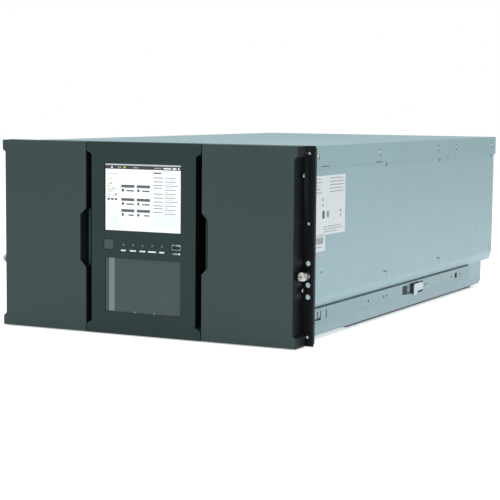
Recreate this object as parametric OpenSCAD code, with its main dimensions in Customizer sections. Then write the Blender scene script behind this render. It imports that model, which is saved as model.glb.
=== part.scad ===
// Rack-mounted data tape library, six rack units high, on glide strips.
// X is width, with +X on the right seen from the front. Y is depth, with the front at -Y.
// Z is up. The origin is the middle of the footprint, at the underside of the glide strips.

/* [Front] */
// Height of the front panels: six rack units less the panel gap
panel_h = 264; // [255:0.5:270]
// Gap under the front panels
panel_gap = 1.5; // [1:0.1:3]
// Depth of the doors and of the middle panel
front_t = 31.2; // [26:0.2:40]
// Wall of the doors and of the middle panel
front_wall = 2.5; // [1.5:0.1:4]
// Distance from the middle panel's edge to the magazine's mouth
mid_edge = 7.3; // [6:0.1:10]
// Depth of the waist on each side of the middle panel
waist_in = 8; // [4:0.5:12]
// Height of the full-width stretch at each end of the middle panel
waist_end = 12; // [8:0.5:20]
// Gap between the middle panel and a door
door_gap = 1; // [0.5:0.1:3]
// Gap between a door's outer edge and the thumbscrew's head
thumb_gap = 0.35; // [0.3:0.05:1]
// How far the door's corner tabs reach past its outer edge
tab_out = 4.5; // [1:0.5:8]
// Height of the corner tabs
tab_h = 13.5; // [8:0.5:30]
// Width of the finger scoop in a door
scoop_w = 9.3; // [5:0.1:14]
// Height of the finger scoop at the door's edge
scoop_h = 82; // [60:1:120]
// Distance from the door's top edge to the scoop's middle
scoop_down = 133; // [110:1:150]

/* [Middle panel] */
// Width of the screen opening
screen_w = 121.6; // [90:0.2:130]
// Height of the screen opening
screen_h = 91.6; // [60:0.2:95]
// Distance from the panel's top edge to the screen
screen_down = 29.4; // [24:0.1:32]
// Width of the window
window_w = 118.4; // [80:0.2:130]
// Distance from the status lights down to the window
window_down = 18.6; // [12:0.1:24]
// Height of the window above the panel's bottom edge
window_up = 30.7; // [22:0.1:34]
// Thickness of the window pane
pane_t = 1.8; // [1:0.1:2.2]
// Width of the power button
button_w = 15.2; // [10:0.1:18]
// Height of the power button
button_h = 14.2; // [9:0.1:16]
// Travel of the power button
button_travel = 1.5; // [0.5:0.1:2.5]
// Distance from the screen down to the row of status lights
lights_down = 18.8; // [12:0.1:24]
// Distance between status lights
light_pitch = 15.1; // [8:0.1:16]
// Width of the USB port's shell
usb_w = 13.4; // [12.2:0.1:15]
// Height of the USB port's shell
usb_h = 6.9; // [5.6:0.1:8]

/* [Case] */
// Depth from the doors' front to the rear edge of the rear cover
depth = 861; // [850:1:950]
// Room between a magazine and the outside of the side panel
side_room = 20.9; // [20:0.1:26]
// Thickness of the side panels
side_t = 1.2; // [0.8:0.1:1.6]
// Thickness of the covers
cover_t = 1; // [0.6:0.1:1.4]
// Height of the side flange of the top cover
flange_h = 28.5; // [15:0.5:40]
// Distance from the doors' front to the seam between the two covers
seam_d = 605; // [560:1:660]
// Height of the glide strips under the case
strip_h = 6.3; // [4:0.1:10]
// Thickness of the tray and of the inner sheets
sheet = 1.5; // [1:0.1:2]
// How far the tray's walls stand in from the side panels
tray_in = 5.5; // [4:0.1:7]
// Height of the tray's walls above its floor
tray_wall_h = 66; // [50:1:90]
// Height of the side panel's crease above the doors' bottom edge
crease_up = 58; // [50:0.5:70]
// Height of the side rail
rail_h = 22.5; // [16:0.5:26]
// Depth of the side rail's channel
rail_t = 3.5; // [2.5:0.1:4.5]
// Distance from the doors' front to the rear end of the side rail
rail_end = 735; // [650:1:780]
// Distance from the doors' front to the rear panel
rear_d = 812; // [790:1:820]

/* [Rack ears] */
// How far the rack ears reach past the side panels
ear_out = 18.8; // [17:0.1:20]
// Thickness of the ears
ear_t = 2; // [1.2:0.1:3]
// Distance from an ear's outer edge to its row of rack holes
hole_edge = 8.75; // [8:0.05:9.5]
// Radius of the rack holes
rack_hole_r = 3.5; // [2.5:0.1:4]
// Radius of the thumbscrew's knurled head
thumb_r = 6.2; // [5:0.1:6.4]
// Length of the thumbscrew's head
thumb_len = 17; // [10:0.5:20]

/* [Magazines] */
// Least height of the ledge between two cartridges
ledge_min = 1.6; // [1:0.1:2.6]
// Columns of slots
columns = 4; // [4:1:4]
// Length of a tape cartridge along its slot column
cart_l = 105.4; // [100:0.1:106]
// Depth of a tape cartridge into its slot
cart_w = 102; // [90:0.5:103]
// Height of a tape cartridge
cart_h = 21.5; // [16:0.1:21.5]
// Gap between the cartridges of two columns
column_gap = 2.6; // [2.4:0.1:4]
// Distance from the middle to the slots' mouths
mag_in = 97; // [96:0.5:98]
// Distance from the doors' front to the first slot column
column_d = 90; // [88:0.5:94]
// How far a cartridge stands back from its slot's mouth
cart_back = 0.5; // [0.2:0.1:2]
// Travel of a magazine
magazine_travel = 420; // [200:10:430]

/* [Robot] */
// Module of the lift's toothed racks and pinions
rack_m = 1.5; // [1.25:0.05:1.6]
// Teeth on a lift pinion
pinion_teeth = 12; // [10:1:13]
// Width of the toothed racks
rack_w = 10; // [6:0.5:10]
// Radius of the lift's shafts
shaft_r = 3; // [2:0.1:3.5]
// Radius of the picker's hub
hub_r = 12; // [8:0.5:16]
// Room between a cartridge and each cheek of the picker
picker_room = 1.8; // [1:0.1:2]
// How much longer the picker is than its cartridge
picker_tail = 28; // [26:0.5:28]
// Travel of the gripper
gripper_travel = 113; // [60:1:113]

/* [Rear] */
// Width of a tape drive
drive_w = 164; // [150:0.5:164]
// Gap over the top drive bay
bay_top_gap = 1.4; // [0.4:0.1:4]
// Width of a power supply
psu_w = 100; // [90:0.5:110]
// Height of a power supply
psu_h = 40; // [38:0.5:42]
// Radius of a power supply's fan
fan_r = 16.5; // [12:0.1:17]

/* [Hidden] */
$fn = 48;

// Clearances
run_gap = 0.3;        // between pieces that move past each other
shaft_gap = 0.05;     // on the radius, between a shaft and its bore
trim_gap = 0.2;       // around a piece let into a panel
over = 1;             // how far a cut runs past a face

// Widths, from the robot's aisle outwards
mag_t = sheet;
mag_out = mag_in + cart_back + cart_w + mag_t + 2 * run_gap;
side_half = mag_out + side_room;
tray_half = side_half - tray_in;
ear_half = side_half + ear_out;
hole_half = ear_half - hole_edge;
door_half = hole_half - thumb_r - thumb_gap;
mid_half = mag_in - mid_edge;

// Depths are measured from the doors' front, heights from the doors' bottom edge
function yd(d) = d - depth / 2;
function zu(h) = h + panel_gap;

// Heights of the case
floor_z = strip_h + sheet;
cover_top = zu(panel_h) - 1.5;
ceiling_z = cover_top - cover_t;
frame_d = front_t + run_gap;
window_h = panel_h - screen_down - screen_h - lights_down - window_down - window_up;
screen_z = zu(panel_h - screen_down - screen_h / 2);
lights_z = zu(panel_h - screen_down - screen_h - lights_down);
window_z = zu(window_up + window_h / 2);

// Slots and magazines
guide_h = 5.9;                                   // magazine guides on the floor
top_guide_h = 3.7;                               // magazine guides under the cover
mag_z0 = floor_z + guide_h + run_gap;
mag_z1 = ceiling_z - top_guide_h - run_gap;
rows = floor((mag_z1 - mag_z0 - 2 * mag_t) / (cart_h + ledge_min));
slot_pitch = (mag_z1 - mag_z0 - 2 * mag_t) / rows;
column_pitch = cart_l + column_gap;
function slot_z(r) = mag_z0 + mag_t + slot_pitch * (r + 0.5);
function column_y(c) = yd(column_d + column_pitch * (c + 0.5));
mag_front = yd(front_t - mag_t);
mag_rear = yd(column_d + column_pitch * columns + 4);
comb_t = 1.2;                                    // wall between two columns
comb_back = 6;                                   // room for the gripper's fingers at the mouths
ledge_w = 4;                                     // ledge that a cartridge lies on
ledge_t = (slot_pitch - cart_h) / 2;

// Robot, all heights from the middle of the picker's pocket
rest_row = floor(rows * 0.7);
rest_column = 1;
pocket_z = slot_z(rest_row);
pocket_y = column_y(rest_column);
pinion_r = rack_m * pinion_teeth / 2;
picker_turn_r = mag_in - 11;
shaft_clear = 4;
front_shaft_y = column_y(0) - picker_turn_r - shaft_clear;
rear_shaft_y = column_y(columns - 1) + picker_turn_r + shaft_clear;
shaft_drop = 8.5;
shaft_z = pocket_z - shaft_drop;
beam_h = 4.5;
beam_t = 5;
beam_drop = 14.5;
beam_top = pocket_z - beam_drop;
beam_bottom = beam_top - beam_h;
beam_in = mag_in - 18;
plate_z = beam_top + run_gap;
plate_t = 1.3;
picker_z = plate_z + plate_t + run_gap;
picker_t = 1.5;
aisle_half = mag_in - 0.5;
rack_half = mag_in - 2;
rack_back = 7;

// Rear
drives = 3;
bays = 6;
tray_slant_l = 13;                               // slanted lower rear corner of the tray
tray_slant_h = 6;
rear_floor_z = floor_z + tray_slant_h;
drive_z0 = rear_floor_z;
drive_pitch = (ceiling_z - drive_z0 - bay_top_gap) / bays;
bay_half = drive_w / 2 + run_gap;
post_t = 6;
bay_front = rear_shaft_y + pinion_r + rack_back + post_t;
drive_front = bay_front + 2;
rear_y = yd(rear_d);
psu_off = 5.35;
psu_x = (bay_half + tray_half) / 2 + psu_off;
psu_len = 230;
function psu_z(i) = rear_floor_z + i * (psu_h + sheet + run_gap);

// ---- Shared shapes ----

// A piece and its mirror image on the other side
module both_sides() {
    children();
    mirror([1, 0, 0]) children();
}

// A box given by its lowest and highest corners
module block(low, high) {
    translate(low) cube(high - low);
}

// An outline in Y and Z, extruded along X from x0 to x1
module along_x(x0, x1) {
    translate([x0, 0, 0]) rotate([90, 0, 90]) linear_extrude(x1 - x0) children();
}

// An outline in X and Z, extruded along Y from y0 to y1
module along_y(y0, y1) {
    translate([0, y1, 0]) rotate([90, 0, 0]) linear_extrude(y1 - y0) children();
}

// A round rod along X or Y
module rod_x(x0, x1, y, z, r) {
    translate([x0, y, z]) rotate([0, 90, 0]) cylinder(h = x1 - x0, r = r);
}
module rod_y(y0, y1, x, z, r) {
    translate([x, y0, z]) rotate([-90, 0, 0]) cylinder(h = y1 - y0, r = r);
}

// A rectangle with round corners, made of circles so that its edges stay true arcs
module round_rect(size, r) {
    translate([r, 0]) square([size[0] - 2 * r, size[1]]);
    translate([0, r]) square([size[0], size[1] - 2 * r]);
    for (x = [r, size[0] - r], y = [r, size[1] - r])
        translate([x, y]) circle(r, $fn = 32);
}

// ---- Case ----

// Folded tray: the floor, two side walls and the slanted lower rear corner
tray_front = yd(frame_d + ear_t + run_gap);
module tray_outline() {
    polygon([
        [tray_front, strip_h],
        [rear_y - tray_slant_l, strip_h],
        [rear_y, strip_h + tray_slant_h],
        [rear_y, floor_z + tray_wall_h],
        [tray_front, floor_z + tray_wall_h]
    ]);
}
module base_tray() color("lightsteelblue") difference() {
    along_x(-tray_half, tray_half) tray_outline();
    along_x(-tray_half + sheet, tray_half - sheet) polygon([
        [tray_front - over, floor_z],
        [rear_y - tray_slant_l - sheet / 3, floor_z],
        [rear_y - sheet / 2, strip_h + tray_slant_h + sheet / 2],
        [rear_y + over, strip_h + tray_slant_h + sheet / 2],
        [rear_y + over, floor_z + tray_wall_h + over],
        [tray_front - over, floor_z + tray_wall_h + over]
    ]);
}

// Glide strips carry the case
strip_w = 10.5;
strip_d0 = 220;
strip_d1 = 790;
module glide_strips() color("#17191a") both_sides()
    along_x(tray_half - strip_w, tray_half) polygon([
        [yd(strip_d0), strip_h],
        [yd(strip_d0), strip_h / 2],
        [yd(strip_d0) + strip_h, 0],
        [yd(strip_d1) - strip_h, 0],
        [yd(strip_d1), strip_h / 2],
        [yd(strip_d1), strip_h]
    ]);

// Side panel: flat sheet with a slanted lip that meets the tray
lip_drop = 14;
side_d1 = 854;
module side_panel() {
    crease_z = zu(crease_up);
    slot_zs = crease_z + 4;
    difference() {
        along_y(tray_front, yd(side_d1)) polygon([
            [side_half, ceiling_z],
            [side_half, crease_z],
            [tray_half + side_t, crease_z - lip_drop],
            [tray_half, crease_z - lip_drop],
            [side_half - side_t, crease_z + 0.4],
            [side_half - side_t, ceiling_z]
        ]);
        // lanced tabs above the crease
        for (d = [326, 560]) {
            block([side_half - 3, yd(d), slot_zs + 8], [side_half + over, yd(d + 15), slot_zs + 9.2]);
            block([side_half - 3, yd(d + 13.8), slot_zs], [side_half + over, yd(d + 15), slot_zs + 9]);
        }
        // small holes
        for (p = [[98.8, 91.5], [758.8, 101.7]])
            rod_x(side_half - 3, side_half + over, yd(p[0]), zu(p[1]), 1.6);
    }
}
module side_panel_right() color("lightsteelblue") side_panel();
module side_panel_left() color("lightsteelblue") mirror([1, 0, 0]) side_panel();

// Side rail: a shallow channel along the tray's wall, with slots and a latch window
rail_z1 = zu(crease_up) - lip_drop - 0.5;
rail_z0 = rail_z1 - rail_h;
rail_x = tray_half + rail_t;
latch_d = 492;
latch_pin_r = 2;
module side_rail() difference() {
    block([tray_half, tray_front, rail_z0], [rail_x, yd(rail_end), rail_z1]);
    block([tray_half - over, tray_front - over, rail_z0 + sheet],
          [rail_x - sheet, yd(rail_end) + over, rail_z1 - sheet]);
    // slots near the front
    for (d = [80, 90, 100, 120])
        block([tray_half, yd(d), rail_z0 + 5], [rail_x + over, yd(d + 3), rail_z1 - 5]);
    block([tray_half, yd(80), rail_z0 + 5], [rail_x + over, yd(103), rail_z0 + 8]);
    for (d = [274, 335, 347, 512, 524, 642, 688])
        rod_x(tray_half, rail_x + over, yd(d), (rail_z0 + rail_z1) / 2, 2);
    block([tray_half, yd(660), rail_z0 + 7], [rail_x + over, yd(671), rail_z1 - 7]);
    // latch window and the small window before it
    block([tray_half, yd(434), rail_z0 + 3], [rail_x + over, yd(484), rail_z1 - 3]);
    block([tray_half, yd(419), rail_z0 + 4], [rail_x + over, yd(430), rail_z1 - 4]);
    rod_x(tray_half, rail_x + over, yd(latch_d), (rail_z0 + rail_z1) / 2, latch_pin_r + shaft_gap);
}
module side_rail_right() color("lightsteelblue") side_rail();
module side_rail_left() color("lightsteelblue") mirror([1, 0, 0]) side_rail();

// Latch lever of a side rail, which turns on its pin
latch_t = 1.6;
module rail_latch() {
    latch_z = (rail_z0 + rail_z1) / 2;
    along_x(rail_x + run_gap, rail_x + run_gap + latch_t) polygon([
        [yd(latch_d) - 32, latch_z - 12],
        [yd(latch_d) - 20, latch_z - 12],
        [yd(latch_d) - 14, latch_z - 6],
        [yd(latch_d) + 6, latch_z - 6],
        [yd(latch_d) + 8, latch_z - 3],
        [yd(latch_d) + 8, latch_z + 4],
        [yd(latch_d) + 5, latch_z + 6],
        [yd(latch_d) - 28, latch_z + 6],
        [yd(latch_d) - 32, latch_z + 2]
    ]);
    rod_x(rail_x - sheet - 1, rail_x + run_gap, yd(latch_d), latch_z, latch_pin_r);
}
module rail_latch_right() color("gainsboro") rail_latch();
module rail_latch_left() color("gainsboro") mirror([1, 0, 0]) rail_latch();

// Covers: the top with a flange down each side, over the side panels
cover_half = side_half + cover_t;
module cover(y0, y1, flange) difference() {
    block([-cover_half, y0, cover_top - flange], [cover_half, y1, cover_top]);
    block([-side_half, y0 - over, cover_top - flange - over], [side_half, y1 + over, ceiling_z]);
}
module key_slot(d) {
    slot_z0 = cover_top - 19.5;
    for (s = [-1, 1])
        hull_free_slot(s, yd(d), slot_z0);
}
module hull_free_slot(s, y, z) {
    x0 = s > 0 ? side_half - 0.1 : -cover_half - over;
    rod_x(x0, x0 + cover_t + over + 0.1, y, z + 1.6, 1.6);
    rod_x(x0, x0 + cover_t + over + 0.1, y, z + 8.4, 1.6);
    block([x0, y - 1.6, z + 1.6], [x0 + cover_t + over + 0.1, y + 1.6, z + 8.4]);
}
module top_cover() color("lightsteelblue") difference() {
    cover(tray_front, yd(seam_d), flange_h);
    for (d = [83, 304, 560]) key_slot(d);
}
module rear_cover() color("lightsteelblue") difference() {
    cover(yd(seam_d) + run_gap, yd(depth), flange_h + 2);
    for (d = [647, 840]) key_slot(d);
}

// ---- Rack ears ----

// The rack's grid of holes starts one panel inset below the panels
panel_inset = 1.35;
function unit_z(h) = zu(h - panel_inset);
rack_holes = [66.675, 82.55, 111.125];           // rack holes left open in each ear
screw_h = 95.25;                                 // rack hole that takes the thumbscrew
screw_up = 12.1;
screw_r = 2.5;
collar_r = 5;
collar_t = 5.5;
ear_in = ear_half - 34.3;
lip_t = 2.5;
module rack_ear() difference() {
    union() {
        block([ear_in, yd(frame_d), zu(0)], [ear_half, yd(frame_d + ear_t), zu(panel_h)]);
        block([ear_half - lip_t, yd(frame_d + ear_t), zu(3)], [ear_half, yd(frame_d + ear_t + 3), zu(panel_h - 3)]);
        block([side_half - side_t - ear_t, yd(frame_d + ear_t), zu(75)],
              [side_half - side_t, yd(80), zu(panel_h - 20)]);
    }
    for (h = rack_holes)
        rod_y(yd(frame_d) - over, yd(frame_d + ear_t) + over, hole_half, unit_z(h), rack_hole_r);
    rod_y(yd(frame_d) - over, yd(frame_d + ear_t) + over, hole_half, unit_z(screw_h), screw_r + 0.6);
    for (h = [screw_up, panel_h - 102, panel_h - 10])
        rod_y(yd(frame_d) - over, yd(frame_d + ear_t) + over, hole_half, zu(h), 2);
    // relief notches beside the bends
    for (z = [zu(0) - over, zu(panel_h) - 5])
        block([door_half, yd(frame_d) - over, z], [door_half + 2, yd(frame_d + ear_t) + over, z + 5 + over]);
}
module rack_ear_right() color("#15181a") rack_ear();
module rack_ear_left() color("#15181a") mirror([1, 0, 0]) rack_ear();

// Collars pressed on the ears, and the captive thumbscrews that turn in them
module thumbscrew_collars() color("silver") both_sides() difference() {
    rod_y(yd(frame_d) - collar_t, yd(frame_d), hole_half, unit_z(screw_h), collar_r);
    rod_y(yd(frame_d) - collar_t - over, yd(frame_d) + over, hole_half, unit_z(screw_h), screw_r + shaft_gap);
}
module thumbscrew() {
    head_y = yd(frame_d) - collar_t - run_gap;
    notches = 24;
    difference() {
        union() {
            rod_y(head_y - thumb_len, head_y, hole_half, unit_z(screw_h), thumb_r);
            rod_y(head_y, yd(frame_d + ear_t) + 9, hole_half, unit_z(screw_h), screw_r);
        }
        // knurl
        for (i = [0 : notches - 1])
            translate([hole_half, head_y - thumb_len - over, unit_z(screw_h)])
                rotate([-90, i * 360 / notches, 0])
                    translate([thumb_r, 0, 0]) cylinder(h = thumb_len * 0.55, r = 0.45, $fn = 16);
        // cross recess
        for (a = [0, 90])
            translate([hole_half, head_y - thumb_len, unit_z(screw_h)]) rotate([0, a, 0])
                cube([thumb_r, 2.4, 1.4], center = true);
    }
}
module thumbscrew_right() color("silver") thumbscrew();
module thumbscrew_left() color("silver") mirror([1, 0, 0]) thumbscrew();

// ---- Front ----

// Inner frame: sill, header and two uprights between the magazine openings
upright_in = mag_in - 17;
frame_t = 6.5;
module front_frame() color("#101214") {
    block([-ear_in, yd(frame_d), floor_z], [ear_in, yd(frame_d + frame_t), mag_z0 - 2 * run_gap]);
    block([-ear_in, yd(frame_d), mag_z1 + 2 * run_gap], [ear_in, yd(frame_d + frame_t), ceiling_z]);
    both_sides()
        block([upright_in, yd(frame_d), mag_z0 - 2 * run_gap],
              [aisle_half, front_shaft_y - pinion_r - rack_back, mag_z1 + 2 * run_gap]);
}

// Outline of the middle panel, with its waist
waist_ramp = 5;
module mid_outline(inset) {
    half = mid_half - inset;
    polygon([
        [-half, zu(inset)], [half, zu(inset)],
        [half, zu(waist_end)], [half - waist_in, zu(waist_end + waist_ramp)],
        [half - waist_in, zu(panel_h - waist_end - waist_ramp)], [half, zu(panel_h - waist_end)],
        [half, zu(panel_h - inset)], [-half, zu(panel_h - inset)],
        [-half, zu(panel_h - waist_end)], [-half + waist_in, zu(panel_h - waist_end - waist_ramp)],
        [-half + waist_in, zu(waist_end + waist_ramp)], [-half, zu(waist_end)]
    ]);
}
screen_x = -0.8;
window_x = -0.8;
usb_x = mid_half - 37.7;
button_x = 35.6 - mid_half;
lights = 5;
lights_x = -0.4;
light_r = 1.3;
board_d = 20;
board_t = 1.6;
standoff_r = 3;
standoff_in = 5;
board_half = mid_half - waist_in - front_wall - 3.2;
board_z0 = lights_z - 14.2;
board_z1 = zu(panel_h - 18);
module centred(x, z, w, h, y0, y1, r = 0) {
    along_y(y0, y1) translate([x - w / 2, z - h / 2])
        if (r > 0) round_rect([w, h], r); else square([w, h]);
}
module centre_panel() color("#3c4b4b") {
    difference() {
        along_y(yd(0), yd(front_t)) mid_outline(0);
        along_y(yd(front_wall), yd(front_t) + over) mid_outline(front_wall);
        centred(screen_x, screen_z, screen_w, screen_h, yd(-over), yd(front_wall) + over, 2);
        centred(window_x, window_z, window_w, window_h, yd(-over), yd(front_wall) + over, 2.5);
        centred(button_x, lights_z, button_w + 2 * run_gap, button_h + 2 * run_gap,
                yd(-over), yd(front_wall) + over, 2.5);
        centred(usb_x, lights_z, usb_w + 2 * trim_gap, usb_h + 2 * trim_gap, yd(-over), yd(front_wall) + over);
        for (i = [0 : lights - 1])
            rod_y(yd(-over), yd(front_wall) + over, lights_x + (i - (lights - 1) / 2) * light_pitch,
                  lights_z, light_r + 0.1);
    }
    // standoffs for the board
    for (x = [standoff_in - board_half, board_half - standoff_in],
         z = [board_z0 + standoff_in, board_z1 - standoff_in])
        rod_y(yd(front_wall), yd(board_d), x, z, standoff_r);
}

// Touch screen: glass let into the panel, with its module behind
glass_in = 0.8;
module touch_screen() color("#d9dde0") {
    z = screen_z;
    centred(screen_x, z, screen_w - 2 * trim_gap, screen_h - 2 * trim_gap, yd(glass_in), yd(front_wall), 2);
    centred(screen_x, z, screen_w + 7, screen_h + 5, yd(front_wall), yd(front_wall + 5));
    centred(screen_x, z, screen_w - 6, screen_h - 6, yd(front_wall + 5), yd(board_d));
}

// Power button: a cap on a stem that slides in the switch on the board
stem_r = 3;
module power_button() color("#313f40") {
    centred(button_x, lights_z, button_w, button_h, yd(0.4), yd(0.4 + 4.5), 2.4);
    centred(button_x, lights_z, button_w + 1.6, button_h + 1.6, yd(front_wall + run_gap), yd(0.4 + 5), 2.6);
    rod_y(yd(0.4 + 5), yd(board_d - 3), button_x, lights_z, stem_r);
}

// Light pipes of the status lights
module status_lights() color("#c9ffe0")
    for (i = [0 : lights - 1])
        rod_y(yd(0.4), yd(board_d), lights_x + (i - (lights - 1) / 2) * light_pitch, lights_z, light_r);

// USB port: folded shell with its tongue
usb_shell = 0.5;
module usb_port() color("silver") {
    z = lights_z;
    difference() {
        centred(usb_x, z, usb_w, usb_h, yd(0.6), yd(board_d));
        centred(usb_x, z, usb_w - 2 * usb_shell, usb_h - 2 * usb_shell, yd(-over), yd(board_d - 1));
    }
    centred(usb_x, z + usb_h / 2 - usb_shell - 1, usb_w - 3, 2, yd(8), yd(board_d - 1));
}

// Window pane let into the panel, held by a rim behind the wall
module window_pane() color("#2b3a3b", 0.6) {
    z = window_z;
    centred(window_x, z, window_w - 2 * trim_gap, window_h - 2 * trim_gap, yd(1), yd(front_wall), 2.3);
    centred(window_x, z, window_w + 8, window_h + 8, yd(front_wall), yd(front_wall + pane_t), 2);
}

// Board behind the panel, with the switch that guides the power button
module panel_board() color("darkgreen") {
    block([-board_half, yd(board_d), board_z0], [board_half, yd(board_d + board_t), board_z1]);
    difference() {
        centred(button_x, lights_z, 13, 12, yd(9), yd(board_d));
        rod_y(yd(9) - over, yd(board_d - 3 + button_travel + run_gap), button_x, lights_z, stem_r + shaft_gap);
    }
}

// ---- Doors and magazines ----

// Outline of the right door, with its corner tabs
door_in = mid_half + door_gap;
tab_ramp = 3.5;
module door_outline(inset) {
    polygon([
        [door_in + inset, zu(inset)],
        [door_half + tab_out - inset, zu(inset)],
        [door_half + tab_out - inset, zu(tab_h - inset)],
        [door_half - inset, zu(tab_h + tab_ramp - inset)],
        [door_half - inset, zu(panel_h - tab_h - tab_ramp + inset)],
        [door_half + tab_out - inset, zu(panel_h - tab_h + inset)],
        [door_half + tab_out - inset, zu(panel_h - inset)],
        [door_in + inset, zu(panel_h - inset)]
    ]);
}

// Finger scoop: slanted ends in the front view and a facet that slopes inwards
scoop_deep = 12;
module scoop(grow) {
    mid = zu(panel_h - scoop_down);
    intersection() {
        along_y(yd(-over), yd(scoop_deep + grow)) polygon([
            [door_in - over, mid - scoop_h / 2 - over - grow],
            [door_in + scoop_w + grow, mid - scoop_h / 2 + scoop_w - grow],
            [door_in + scoop_w + grow, mid + scoop_h / 2 - scoop_w + grow],
            [door_in - over, mid + scoop_h / 2 + over + grow]
        ]);
        translate([0, 0, mid - scoop_h]) linear_extrude(2 * scoop_h) polygon([
            [door_in - over, yd(-over)],
            [door_in + scoop_w + grow, yd(-over)],
            [door_in + scoop_w + grow, yd(grow)],
            [door_in + scoop_w * 0.3 + grow, yd(scoop_deep + grow)],
            [door_in - over, yd(scoop_deep + grow)]
        ]);
    }
}
module door() {
    difference() {
        along_y(yd(0), yd(front_t)) door_outline(0);
        difference() {
            along_y(yd(front_wall), yd(front_t) + over) door_outline(front_wall);
            scoop(front_wall);
        }
        scoop(0);
    }
    // ribs that the magazine is screwed to
    for (x = [mag_in + 12, mag_out - 12])
        block([x, yd(front_wall), mag_z0 + 10], [x + 3, mag_front, mag_z1 - 10]);
}
module door_right() color("#4c5d5d") door();
module door_left() color("#4c5d5d") mirror([1, 0, 0]) door();

// Magazine: a folded sheet tray, open towards the robot
module magazine() difference() {
    block([mag_in, mag_front, mag_z0], [mag_out, mag_rear, mag_z1]);
    block([mag_in - over, mag_front + mag_t, mag_z0 + mag_t], [mag_out - mag_t, mag_rear - mag_t, mag_z1 - mag_t]);
}
module magazine_right() color("gainsboro") magazine();
module magazine_left() color("gainsboro") mirror([1, 0, 0]) magazine();

// Combs: walls between the columns, with a pair of ledges under each slot
module slot_combs() for (c = [0 : columns]) {
    y = yd(column_d + column_pitch * c);
    union() {
        block([mag_in + comb_back, y - comb_t / 2, mag_z0 + mag_t], [mag_out - mag_t, y + comb_t / 2, mag_z1 - mag_t]);
        for (r = [0 : rows - 1]) {
            z = slot_z(r) - slot_pitch / 2;
            y0 = c == 0 ? y : y - comb_t / 2 - ledge_w;
            y1 = c == columns ? y : y + comb_t / 2 + ledge_w;
            block([mag_in + comb_back, y0, z], [mag_out - mag_t, y1, z + ledge_t]);
        }
    }
}
module slot_combs_right() color("#8a9092") slot_combs();
module slot_combs_left() color("#8a9092") mirror([1, 0, 0]) slot_combs();

// Cartridges: a shell with a grip edge and a recess at the open end
module cartridge(c, r) {
    y = column_y(c);
    z = slot_z(r) - slot_pitch / 2 + ledge_t;
    x = mag_in + cart_back;
    difference() {
        block([x, y - cart_l / 2, z], [x + cart_w, y + cart_l / 2, z + cart_h]);
        block([x - over, y - cart_l / 2 + 12, z + cart_h - 6], [x + 1, y + cart_l / 2 - 12, z + cart_h - 2]);
        for (s = [-1, 1])
            block([x + 8, y + s * cart_l / 2 - 1, z + 6], [x + 16, y + s * cart_l / 2 + 1, z + cart_h - 6]);
    }
}
module cartridges_right() color("#1b1d20") for (c = [0 : 1], r = [0 : rows - 1]) cartridge(c, r);
module cartridges_left() color("#1b1d20") mirror([1, 0, 0])
    for (c = [0 : 2], r = [0 : rows - 1]) cartridge(c, r);

// Guides on the floor and under the top cover, which the magazines slide on
guide_w = 10;
bulkhead_y = mag_rear + 4;
module magazine_guides() color("#2a2d2f") both_sides()
    for (x = [mag_in + 15, mag_out - 25]) {
        block([x, yd(frame_d + frame_t), floor_z], [x + guide_w, bulkhead_y, mag_z0 - run_gap]);
        block([x, yd(frame_d + frame_t), mag_z1 + run_gap], [x + guide_w, bulkhead_y, ceiling_z]);
    }

// Bulkheads behind the magazines
module bay_bulkheads() color("gainsboro") both_sides()
    block([mag_in, bulkhead_y, floor_z], [tray_half - sheet, bulkhead_y + sheet, ceiling_z]);

// ---- Lift ----

tooth_pitch = PI * rack_m;
tooth_angle = 20;
rack_add = 0.62 * rack_m;
rack_ded = 1.25 * rack_m;
pinion_add = rack_m;
pinion_ded = 0.87 * rack_m;
backlash = 0.12;
rack_half_tooth = tooth_pitch / 4 - backlash;

// Rack outline: teeth on a strip, pitch line at y = 0, teeth towards +y
module rack_outline(z0, z1, back) {
    top = rack_half_tooth - rack_add * tan(tooth_angle);
    root = rack_half_tooth + rack_ded * tan(tooth_angle);
    lo = ceil((z0 - shaft_z + root) / tooth_pitch - 0.5);
    hi = floor((z1 - shaft_z - root) / tooth_pitch - 0.5);
    polygon(concat(
        [[-back, z1], [-back, z0], [-rack_ded, z0]],
        [for (k = [lo : hi], p = [[-rack_ded, -root], [rack_add, -top], [rack_add, top], [-rack_ded, root]])
            [p[0], shaft_z + (k + 0.5) * tooth_pitch + p[1]]],
        [[-rack_ded, z1]]
    ));
}

// Pinion outline: involute teeth, with one tooth towards +y
function involute(a) = tan(a) * 180 / PI - a;
module pinion_outline() {
    base_r = pinion_r * cos(tooth_angle);
    tip_r = pinion_r + pinion_add;
    root_r = pinion_r - pinion_ded;
    half_angle = (tooth_pitch / 4 - backlash) / pinion_r * 180 / PI;
    steps = 5;
    flank = [for (i = [0 : steps])
        let (r = base_r + (tip_r - base_r) * i / steps)
            [r, half_angle + involute(tooth_angle) - involute(acos(min(1, base_r / r)))]];
    tooth = concat(
        [[root_r, flank[0][1]]], flank,
        [for (i = [steps : -1 : 0]) [flank[i][0], -flank[i][1]]],
        [[root_r, -flank[0][1]]]
    );
    polygon([for (t = [0 : pinion_teeth - 1], p = tooth)
        let (a = 90 - t * 360 / pinion_teeth + p[1]) [p[0] * cos(a), p[0] * sin(a)]]);
}

// Toothed racks at the four corners of the robot's aisle
module lift_racks() color("silver") both_sides() {
    along_x(rack_half - rack_w, rack_half) translate([front_shaft_y - pinion_r, 0])
        rack_outline(floor_z, ceiling_z, rack_back);
    along_x(rack_half - rack_w, rack_half) translate([rear_shaft_y + pinion_r, 0]) mirror([1, 0])
        rack_outline(floor_z, ceiling_z, rack_back);
}

// Posts that carry the rear racks; the front racks stand on the front frame's uprights
module rack_posts() color("gainsboro") both_sides()
    block([upright_in, rear_shaft_y + pinion_r + rack_back, floor_z], [aisle_half, bay_front, ceiling_z]);

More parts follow.
